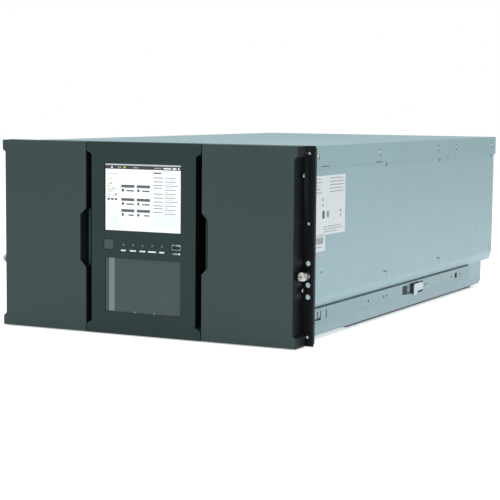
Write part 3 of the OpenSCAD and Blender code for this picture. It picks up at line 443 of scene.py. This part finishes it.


# One material carries print, and also the painted shade of the thumbscrews' cross recesses and of the gap
# round the power key.
print_and_shade = mark_coloured("printed marks", 0.5)
white, pale = linear(232, 238, 240), linear(214, 220, 222)
rule, paper, grey = linear(186, 190, 192), linear(186, 192, 194), linear(128, 132, 134)
dark, bar, black = linear(44, 46, 48), linear(50, 46, 46), linear(6, 8, 9)
label = rows(0.004, 0.0035, 0.0046, (0.030, 0.036, 0.024), 0.0012, grey, 5)
label += rows(0.065, 0.0035, 0.0046, (0.044, 0.048, 0.050), 0.0012, grey, 5)
label += rows(0.052, 0.0275, 0.0031, (0.063, 0.060, 0.064, 0.052), 0.0009, rule, 9)
label += rows(0.040, 0.0300, 0.0075, (0.004,), 0.0045, grey, 2)
label += rows(0.050, 0.0300, 0.0075, (0.004,), 0.0045, rule, 2)
label += [(0.041, 0.0475, 0.007, 0.0105, dark), (0.056, 0.0490, 0.007, 0.0085, grey),
          (0.100, 0.0480, 0.006, 0.0030, grey), (0.102, 0.0540, 0.004, 0.0050, grey)]
label += rows(0.068, 0.0575, 0.0026, (0.020, 0.024, 0.018), 0.0009, rule, 4)
label += rows(0.044, 0.0690, 0.0034, (0.060, 0.068, 0.046), 0.0011, grey, 3)
stripes = [(0.003 + 0.0016 * k, 0.003, 0.0005 + 0.0003 * (k % 3), 0.009, dark) for k in range(22)]
stripes.append((0.003, 0.0155, 0.030, 0.0014, grey))
paper_x, ink_x = wall_x + 0.04 * mm, wall_x + 0.08 * mm
for name, ink_name, d, top_z, size, print_on_it in (
        ("side_label_paper", "side_label_rows", 0.058, 0.2235, (0.119, 0.0805), label),
        ("small_label_paper", "small_label_bars", 0.065, 0.1436, (0.044, 0.022), stripes)):
    marks(name, (paper_x, front_y + d, top_z), "+x", [(0.0, 0.0, *size, paper)], print_and_shade)
    marks(ink_name, (ink_x, front_y + d, top_z), "+x", print_on_it, print_and_shade)

# The two glide strips are hard black plastic, stuck under the tray and worn by sliding.
# They stand in from the tray's walls.
strip_plastic = surface("glide plastic", linear(30, 33, 35), 0.55, grain=500.0, wear=0.6,
                        worn=linear(96, 99, 100))
strip_in = 10.5 * mm
runners = softened("glide_strips", "glide_runners", 0.5 * mm, strip_plastic)
for vert in runners.data.vertices:
    vert.co.x -= math.copysign(strip_in, vert.co.x)

# The side rails are rolled channels of sheet, welded to the tray, with a spring latch of bright steel.
# A dark bar of painted shadow runs along each rail's upper edge, under the panel's slope.
# Dark patches of painted shade stand for a window in front of the latch and a recess behind it.
rail_steel = surface("rail steel", linear(106, 133, 138), 0.38, metallic=0.2, grain=900.0,
                     stretch=(1.0, 0.08, 1.0), wear=0.0)
latch_steel = surface("latch steel", linear(140, 156, 160), 0.30, metallic=0.8, grain=700.0,
                      stretch=(1.0, 0.2, 1.0), wear=0.4, worn=linear(236, 240, 240))
gap_t = 0.1 * mm
for sign, side in ((-1, "left"), (1, "right")):
    softened(f"side_rail_{side}", f"{side}_rail", 0.2 * mm, rail_steel)
    softened(f"rail_latch_{side}", f"{side}_latch_lever", 0.25 * mm, latch_steel,
             body=f"{side}_rail_latch")
    rail_low, rail_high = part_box(f"side_rail_{side}")
    latch_low, latch_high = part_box(f"rail_latch_{side}")
    rail_x = sign * max(abs(rail_low.x), abs(rail_high.x))
    rail_middle, latch_middle = (rail_low + rail_high) / 2, (latch_low + latch_high) / 2
    for name, middle_y, middle_z, length, tall in (
            ("rail_edge_shadow", rail_middle.y, rail_high.z - 0.6 * mm, rail_high.y - rail_low.y, 1.1 * mm),
            ("latch_window", latch_low.y - 36 * mm, rail_middle.z, 22 * mm, 13 * mm),
            ("latch_recess", latch_middle.y, rail_middle.z - 1 * mm, 48 * mm, 17 * mm)):
        repeated(f"{side}_{name}", bars, [(rail_x, middle_y, middle_z)], Turn=level,
                 Size=(gap_t, length, tall), Material=shade)


# The rack ears are bent steel plates with a satin black powder coat, screwed to the side panels.
# Each holds a captive thumbscrew of bright nickel in a pressed collar.
around, groove = 56, 0.4 * mm  # points round a turned part, and the depth of its knurling


def turned(name, x, z, y, stations, radius, material):
    """A part turned about an axis along Y: each station is a distance in mm, a share of the radius,
    and 1 where the skin is knurled."""
    verts, faces = [(x, y, z)], []
    for distance, share, knurled in stations:
        for k in range(around):
            angle = 2 * math.pi * k / around
            size = radius * share - groove * knurled * (k % 2)
            verts.append((x + size * math.sin(angle), y + distance * mm, z + size * math.cos(angle)))
    for k in range(around):
        faces.append((0, 1 + k, 1 + (k + 1) % around))
    for ring in range(len(stations) - 1):
        first = 1 + ring * around
        for k in range(around):
            after = (k + 1) % around
            faces.append((first + k, first + around + k, first + around + after, first + after))
    piece = mesh_piece(name, verts, faces)
    piece.data.materials.append(material)
    return piece


powder_and_gap_shade = surface("black powder coat", linear(9, 12, 13), 0.5, shine=0.12, grain=1100.0, grain_tone=0.10,
                 relief=0.00004, wear=0.25, worn=linear(92, 98, 100))
knurled_head = ((0.0, 0.55, 0), (0.0, 0.80, 0), (0.6, 0.93, 0), (1.2, 1.0, 1), (8.6, 1.0, 1), (9.2, 0.90, 0))
neck_and_thread = ((9.8, 0.62, 0), (10.4, 0.5, 0), (20.0, 0.5, 0), (20.4, 0.36, 0), (32.6, 0.36, 0),
                   (33.4, 0.26, 0), (33.4, 0.02, 0))
cross_l, cross_w, cross_gap = 6.0 * mm, 1.1 * mm, 0.01 * mm
arm = (cross_l - cross_w) / 2 - cross_gap
for side in ("left", "right"):
    body, node = f"{side}_thumbscrew", f"thumbscrew_{side}"
    softened(f"rack_ear_{side}", f"{side}_ear", 0.25 * mm, powder_and_gap_shade)
    low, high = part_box(node)
    axis_x, axis_z = (low.x + high.x) / 2, (low.z + high.z) / 2
    knob = turned(f"{side}_thumbscrew_knob", axis_x, axis_z, low.y + 0.1 * mm, knurled_head + neck_and_thread,
                  (high.z - low.z) / 2 - 0.05 * mm, nickel)
    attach(knob, body)
    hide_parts(node)
    # The knob's front is flat; a dark cross of painted shade on it stands for its cross recess.
    marks(f"{side}_thumbscrew_cross", (axis_x, low.y + 0.05 * mm, axis_z), "-y",
          [(-cross_l / 2, -cross_w / 2, cross_l, cross_w, dark),
           (-cross_w / 2, -cross_l / 2, cross_w, arm, dark),
           (-cross_w / 2, cross_w / 2 + cross_gap, cross_w, arm, dark)], print_and_shade, body=body)
softened("thumbscrew_collars", "screw_collars", 0.2 * mm, nickel)

# The doors and the middle panel are moulded covers with a fine matt texture, dark green-grey.
# Their walls towards the ears are black, their walls into the gaps are black as painted shade, and two
# screws hold each outer wall.
door_plastic = surface("door moulding", linear(42, 59, 59), 0.52, shine=0.3, grain=1300.0, grain_tone=0.08,
                       drift=0.10, relief=0.00003, wear=0.0)
panel_plastic = surface("panel moulding", linear(32, 48, 48), 0.52, shine=0.2, grain=1300.0, grain_tone=0.08,
                        drift=0.10, relief=0.00003, wear=0.0)
door_screw_d, door_screw_z = 20.5 * mm, (0.2268, 0.077)
for sign, side, facing in ((-1, "left", "-x"), (1, "right", "+x")):
    body = f"door_and_magazine_{side}"
    reach = abs(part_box(f"door_{side}")[sign > 0].x)

    def black_wall_and_gap_shade(place, normal):
        """The outer wall and the back of a door, which are black, and the wall in the gap, black as painted
        shade.
        """
        outward = normal.x * sign
        outer_wall = outward > 0.6 and place.x * sign > reach - 8 * mm
        return outer_wall or outward < -0.6 or normal.y > 0.5

    softened(f"door_{side}", f"{side}_door", 0.7 * mm, door_plastic, steps=3, body=body,
             second=powder_and_gap_shade, where=black_wall_and_gap_shade)
    repeated(f"{side}_door_screws", fasteners,
             [(sign * reach, front_y + door_screw_d, z) for z in door_screw_z],
             body=body, slot="nickel", Turn=turn_to[facing], Radius=2.6 * mm, Height=0.9 * mm,
             Metal=nickel, Dark=shade)
# The middle panel's walls into the gaps are black as painted shade.
softened("centre_panel", "middle_panel", 0.5 * mm, panel_plastic, steps=3, second=powder_and_gap_shade,
         where=lambda place, normal: abs(normal.x) > 0.6 and abs(place.x) > 0.07)


# The touch screen: a lit display under black-edged glass, let into the middle panel. It shows a plain
# page: a dark bar with signs, a column of fields, six tiles and a list, all as bars and blocks.
def dress(node, material):
    """A CAD node keeps its mesh and gets the material."""
    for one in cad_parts[node].material_slots:
        one.link = "OBJECT"
        one.material = material


black_glass = surface("black glass", linear(16, 20, 22), 0.12, grain=200.0, grain_tone=0.02, wear=0.0)
dress("touch_screen", black_glass)
screen_low, screen_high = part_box("touch_screen")
display_ink = mark_coloured("lit display", 0.25, glow=0.10)
yellow, violet, tile = linear(206, 214, 40), linear(150, 140, 176), linear(226, 230, 231)
shown_w, shown_h = 0.1177, 0.0912
# Places and sizes on the page are shares of its width and height.
page = [(0.0, 0.0, 1.0, 1.0, white)]
areas = [(0.0, 0.0, 1.0, 0.022, rule), (0.0, 0.022, 1.0, 0.055, bar), (0.63, 0.735, 0.335, 0.2, pale),
         (0.02, 0.70, 0.155, 0.25, pale), (0.0, 0.252, 0.63, 0.012, pale), (0.195, 0.08, 0.006, 0.6, pale),
         (0.02, 0.388, 0.16, 0.008, grey), (0.02, 0.662, 0.16, 0.010, rule)]
signs = [(x, 0.042, w, 0.02, c) for x, w, c in (
    (0.075, 0.022, white), (0.165, 0.05, grey), (0.243, 0.026, yellow), (0.37, 0.07, grey),
    (0.65, 0.10, grey), (0.775, 0.10, pale), (0.895, 0.05, white), (0.965, 0.02, white))]
signs += [(0.03, y, w, 0.014, c) for y, w, c in (
    (0.098, 0.11, pale), (0.138, 0.14, rule), (0.178, 0.11, pale), (0.218, 0.07, rule), (0.332, 0.03, violet),
    (0.365, 0.03, rule), (0.455, 0.03, violet), (0.485, 0.02, violet), (0.565, 0.12, pale))]
signs += [(0.03, 0.280, 0.02, 0.024, yellow), (0.055, 0.284, 0.035, 0.018, violet),
          (0.03, 0.405, 0.02, 0.022, yellow), (0.055, 0.41, 0.05, 0.014, rule),
          (0.095, 0.352, 0.02, 0.022, grey), (0.125, 0.447, 0.028, 0.02, dark),
          (0.095, 0.477, 0.02, 0.016, grey)]
signs += [(x, 0.517, 0.034, 0.028, dark) for x in (0.026, 0.075, 0.124)]
for x in (0.213, 0.422):
    for y, indent in ((0.31, 0.0), (0.51, 0.0), (0.675, 0.03)):
        signs += [(x, y, 0.178, 0.125, tile), (x, y, 0.178, 0.042, rule),
                  (x + 0.008, y + 0.062, 0.028, 0.04, grey), (x + 0.012, y + 0.072, 0.018, 0.02, dark),
                  (x + 0.07 + indent, y + 0.078, 0.1 - indent, 0.018, dark)]
signs.append((0.643, 0.115, 0.105, 0.018, dark))
signs += [(0.645, y, w, 0.014, grey) for y, w in (
    (0.185, 0.13), (0.243, 0.13), (0.298, 0.12), (0.336, 0.11), (0.425, 0.125), (0.484, 0.125),
    (0.542, 0.12), (0.598, 0.13), (0.640, 0.13), (0.697, 0.12))]
list_widths = (0.15, 0.125, 0.15, 0.13, 0.175, 0.10, 0.15, 0.05)
signs += [(0.79, 0.185 + 0.0296 * k, list_widths[k % 8], 0.012, (grey, rule)[k % 2]) for k in range(19)]
# Left of the picture a strip of the black glass shows; it is the glass's black edge and also painted shadow
# cast by the opening's side wall.
picture_x, picture_z = screen_low.x + 5.6 * mm, screen_high.z - 2.5 * mm
for name, items, proud in (
        ("lit_picture", page, 0.04), ("lit_signs", areas, 0.08),
        ("lit_lines", [item for item in signs if item[4] != dark], 0.12),
        ("lit_icons", [item for item in signs if item[4] == dark], 0.16)):
    marks(name, (picture_x, screen_low.y - proud * mm, picture_z), "-y",
          [(x * shown_w, y * shown_h, w * shown_w, h * shown_h, c) for x, y, w, h, c in items],
          display_ink)


# The power key, the row of light pipes and the port sit in one line under the screen. A short bar
# stands under each light, three small marks under the port, and a black ring of painted shade lies in
# the gap round the key.
def islands(node):
    """The lowest and highest corners of each separate solid of a CAD node."""
    shape = bmesh.new()
    shape.from_mesh(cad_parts[node].data)
    bmesh.ops.remove_doubles(shape, verts=shape.verts, dist=weld)
    found, seen = [], set()
    for first in shape.verts:
        if first in seen:
            continue
        seen.add(first)
        queue, places = [first], []
        while queue:
            vert = queue.pop()
            places.append(vert.co.copy())
            for edge in vert.link_edges:
                other = edge.other_vert(vert)
                if other not in seen:
                    seen.add(other)
                    queue.append(other)
        found.append(tuple(Vector(pick(c[k] for c in places) for k in range(3)) for pick in (min, max)))
    shape.free()
    return found


key_plastic = surface("key moulding", linear(40, 56, 56), 0.42, grain=1300.0, wear=0.3,
                      worn=linear(130, 146, 146))
softened("power_button", "power_key_cap", 0.5 * mm, key_plastic, steps=3, body="power_key")
dress("status_lights", glowing(surface("light pipe", linear(104, 124, 118), 0.2, grain=600.0, wear=0.0),
                               (0.55, 0.9, 0.75), 0.02))
dress("usb_port", nickel)
face = (0.0, front_y - 0.02 * mm, 0.0)
captions = []
lights_in_line = sorted(islands("status_lights"), key=lambda box: box[0].x)
for (low, high), width in zip(lights_in_line, (7.5 * mm, 9.5 * mm, 9.0 * mm, 12.5 * mm, 8.0 * mm)):
    captions.append(((low.x + high.x - width) / 2, 5.6 * mm - low.z, width, 1.9 * mm, pale))
port_low, port_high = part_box("usb_port")
port_x = (port_low.x + port_high.x) / 2
port_signs = ((-5.5, 5.0, 9.0, 0.6), (-0.3, 3.9, 0.6, 2.8), (3.6, 4.0, 2.4, 2.4))
captions += [(port_x + left * mm, drop * mm - port_low.z, width * mm, height * mm, pale)
             for left, drop, width, height in port_signs]
marks("panel_captions", face, "-y", captions, print_and_shade)
key_low, key_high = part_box("power_button")
gap, line = 0.4 * mm, 1.1 * mm
x0, x1, z0, z1 = key_low.x - gap, key_high.x + gap, key_low.z - gap, key_high.z + gap
marks("key_gap_shade", face, "-y",
      [(x0 - line, -z1 - line, x1 - x0 + 2 * line, line, black),
       (x0 - line, -z0, x1 - x0 + 2 * line, line, black),
       (x0 - line, -z1, line, z1 - z0, black),
       (x1, -z1, line, z1 - z0, black)], print_and_shade)

# The window pane is smoked polycarbonate, held behind the panel's wall. Its left and upper edges lie
# in painted shadow, its right and lower edges carry a thin painted highlight, a paler strip runs down
# beside the left one, and three dark bars lie near the bottom. Two tabs hold it at the bottom; they are
# drawn as painted highlights.
smoked = surface("smoked pane", linear(48, 64, 64), 0.16, shine=0.3, grain=300.0, grain_tone=0.02,
                 drift=0.05, wear=0.0)
softened("window_pane", "smoked_window", 0.3 * mm, smoked)
pane_low, pane_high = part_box("window_pane")
pane_w, pane_h = (pane_high.x - pane_low.x) / mm, (pane_high.z - pane_low.z) / mm
deep, clear, glint = linear(16, 24, 25), linear(92, 110, 110), linear(104, 122, 122)
edge_h, wall_w, rim = 1.6, 2.6, 1.1
pane_marks = [(0.0, 0.0, pane_w, edge_h, deep), (0.0, edge_h, wall_w, pane_h - edge_h, deep),
              (10.0, edge_h, 9.0, pane_h - edge_h - 5.0, clear),
              (pane_w - rim, edge_h, rim, pane_h - edge_h, glint),
              (wall_w, pane_h - 1.0, pane_w - wall_w - rim, 1.0, glint)]
pane_marks += [(left, pane_h - 5.0, 27.0, 2.0, deep) for left in (22.0, 53.0, 84.0)]
pane_marks += [(left, pane_h - 6.2, 2.2, 3.2, glint) for left in (50.0, 81.0)]
marks("pane_shadows", (pane_low.x, pane_low.y - 0.05 * mm, pane_high.z), "-y",
      [(x * mm, y * mm, w * mm, h * mm, c) for x, y, w, h, c in pane_marks], mark_coloured("pane marks", 0.15))

# The board behind the panel carries the lights, the key's switch and the port.
board_green = surface("circuit board", linear(28, 96, 62), 0.35, grain=300.0, grain_tone=0.25, wear=0.3,
                      worn=linear(150, 130, 70))
dress("panel_board", board_green)
dress("front_frame", powder_and_gap_shade)

# Magazines: folded zinc-plated sheet, with moulded combs that hold the cartridges in their slots.
# Each cartridge has ribs for the picker to grip, and a label with colour blocks over a row of stripes.
zinc = surface("zinc plated sheet", linear(168, 172, 174), 0.34, metallic=0.75, grain=260.0, grain_tone=0.14,
               drift=0.12, wear=0.3, worn=linear(222, 224, 224))
comb_plastic = surface("comb moulding", linear(112, 118, 120), 0.5, grain=1000.0, wear=0.3,
                       worn=linear(170, 176, 178))
cartridge_plastic = surface("cartridge moulding", linear(44, 46, 49), 0.48, grain=900.0, grain_tone=0.1,
                            wear=0.3, worn=linear(110, 112, 114))
label_paper = surface("label paper", linear(232, 232, 228), 0.55, grain=2000.0, wear=0.0)
label_tints = [linear(*c) for c in (
    (206, 64, 56), (232, 178, 40), (64, 140, 84), (58, 104, 176), (150, 88, 156), (222, 120, 44))]
tint_count, tint_pitch = 6, 10 * mm
stripe_count, stripe_pitch = 26, 2.3 * mm
rib_count, rib_pitch = 4, 2.2 * mm
for side, inward, facing in (("left", 1, "+x"), ("right", -1, "-x")):
    body = f"door_and_magazine_{side}"
    softened(f"magazine_{side}", f"{side}_magazine_sheet", 0.25 * mm, zinc, body=body)
    dress(f"slot_combs_{side}", comb_plastic)
    softened(f"cartridges_{side}", f"{side}_cartridge_cases", 0.8 * mm, cartridge_plastic, body=body)
    cases = islands(f"cartridges_{side}")
    inner_x = min(abs(corner.x) for box in cases for corner in box) * -inward
    label_places, rib_places, code = [], [], []
    for number, (low, high) in enumerate(cases):
        middle = (low + high) / 2
        label_places.append((inner_x + inward * 0.05 * mm, middle.y + 8 * mm, middle.z))
        rib_places += [(inner_x + inward * 0.15 * mm, low.y + 5 * mm + rib_pitch * k, middle.z)
                       for k in range(rib_count)]
        code += [(-middle.y - 44 * mm + tint_pitch * k, -middle.z - 5.0 * mm, 9 * mm, 4.2 * mm,
                  label_tints[(number + 2 * k) % len(label_tints)]) for k in range(tint_count)]
        code += [(-middle.y - 42 * mm + stripe_pitch * k, 0.8 * mm - middle.z,
                  (0.6 + 0.4 * ((k + number) % 3)) * mm, 4.6 * mm, dark) for k in range(stripe_count)]
    if inward > 0:
        code = [(-left - width, top, width, height, tint) for left, top, width, height, tint in code]
    repeated(f"{side}_cartridge_labels", bars, label_places, body=body, Turn=level,
             Size=(0.1 * mm, 76 * mm, 13 * mm), Material=label_paper)
    marks(f"{side}_cartridge_codes", (inner_x + inward * 0.13 * mm, 0, 0), facing, code, print_and_shade, body=body)
    repeated(f"{side}_cartridge_grips", bars, rib_places, body=body, Turn=level,
             Size=(0.3 * mm, 1.1 * mm, 12 * mm), Material=cartridge_plastic)
dress("magazine_guides", surface("guide moulding", linear(52, 54, 56), 0.4, grain=600.0, wear=0.4,
                                 worn=linear(120, 122, 124)))
dress("bay_bulkheads", zinc)

# The robot: four toothed racks and two geared shafts of machined steel, and beams of satin aluminium
# that carry a moulded carriage with a turning picker.
tooth_steel = surface("machined steel", linear(150, 152, 154), 0.28, metallic=0.95, grain=500.0,
                      stretch=(1.0, 1.0, 0.1), wear=0.5, worn=linear(226, 228, 228))
extrusion = surface("satin aluminium", linear(186, 190, 192), 0.32, metallic=0.9, grain=700.0,
                    stretch=(1.0, 0.05, 1.0), wear=0.4, worn=linear(236, 238, 238))
robot_plastic = surface("robot moulding", linear(62, 68, 74), 0.45, grain=1000.0, wear=0.3,
                        worn=linear(130, 136, 140))
for material, nodes in ((tooth_steel, ("lift_racks", "front_shaft", "rear_shaft")), (zinc, ("rack_posts",)),
                        (extrusion, ("lift_beams", "lift_crossbars", "gripper")),
                        (robot_plastic, ("carriage", "picker"))):
    for node in nodes:
        dress(node, material)

# The rear: drives and supplies in plated sheet cases that slide in on ledges and shelves.
plated = surface("plated case", linear(182, 188, 192), 0.30, metallic=0.8, grain=800.0, grain_tone=0.1,
                 stretch=(0.1, 1.0, 1.0), wear=0.4, worn=linear(228, 232, 234))
fan_plastic = surface("fan moulding", linear(34, 36, 38), 0.38, grain=900.0, wear=0.2)
inlet_plastic = surface("inlet moulding", linear(28, 29, 31), 0.42, grain=900.0, wear=0.2)
drives = ("tape_drive_1", "tape_drive_2", "tape_drive_3")
for material, nodes in (
        (zinc, ("drive_bay_walls", "rear_shelves")),
        (fan_plastic, ("supply_fan_1", "supply_fan_2")),
        (plated, (*drives, "drive_blanks", "power_supply_1", "power_supply_2", "controller")),
        (nickel, ("fan_guards", "network_ports")),
        (inlet_plastic, ("power_inlets",))):
    for node in nodes:
        dress(node, material)

# Rear faces: fields of air holes, screws, light pipes and data sockets on each module's plate.
# The air holes are flat dark patches of painted shade, and so are the sockets in the screws' heads.
lit_green = glowing(surface("green light", linear(60, 200, 110), 0.25, wear=0.0), (0.05, 0.8, 0.25), 0.4)
plate_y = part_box("drive_blanks")[1].y
hole_y = plate_y + 0.04 * mm
screw_x, screw_rise = 76.5 * mm, 14.5 * mm
holes, lights, screws, data_sockets = [], [], [], []


def hole_grid(x, z, columns, pitch_x, lines, pitch_z):
    """Places of air holes, from the lowest on the -X side."""
    return [(x + pitch_x * i, hole_y, z + pitch_z * k) for i in range(columns) for k in range(lines)]


drive_boxes = [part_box(node) for node in drives]
for low, high in drive_boxes:
    middle_z = (low.z + high.z) / 2
    holes += hole_grid(10 * mm, middle_z - 12 * mm, 12, 4.4 * mm, 7, 4.0 * mm)
    lights += [(-4 * mm, plate_y, middle_z + (7 - 5 * k) * mm) for k in range(3)]
    data_sockets += [(x, plate_y, middle_z) for x in (-16 * mm, -30 * mm)]
blank_boxes = islands("drive_blanks")
for low, high in blank_boxes:
    holes += hole_grid(-52 * mm, (low.z + high.z) / 2 - 9 * mm, 21, 5.2 * mm, 5, 4.5 * mm)
for low, high in (*drive_boxes, *blank_boxes):
    screws += [(x, plate_y, (low.z + high.z) / 2 + rise)
               for x in (-screw_x, screw_x) for rise in (-screw_rise, screw_rise)]
repeated("rear_air_holes", hole_field, holes, Turn=turn_to["+y"], Radius=1.55 * mm, Material=shade)
repeated("rear_lights", bars, lights, slot="light_pipe", Turn=level, Size=(2.2 * mm, 0.8 * mm, 2.2 * mm),
         Material=lit_green)
repeated("rear_data_sockets", bars, data_sockets, Turn=level, Size=(8.0 * mm, 1.6 * mm, 17.0 * mm),
         Material=shade)
repeated("rear_plate_screws", fasteners, screws, slot="nickel", Turn=turn_to["+y"], Radius=2.4 * mm,
         Height=1.0 * mm, Metal=nickel, Dark=shade)
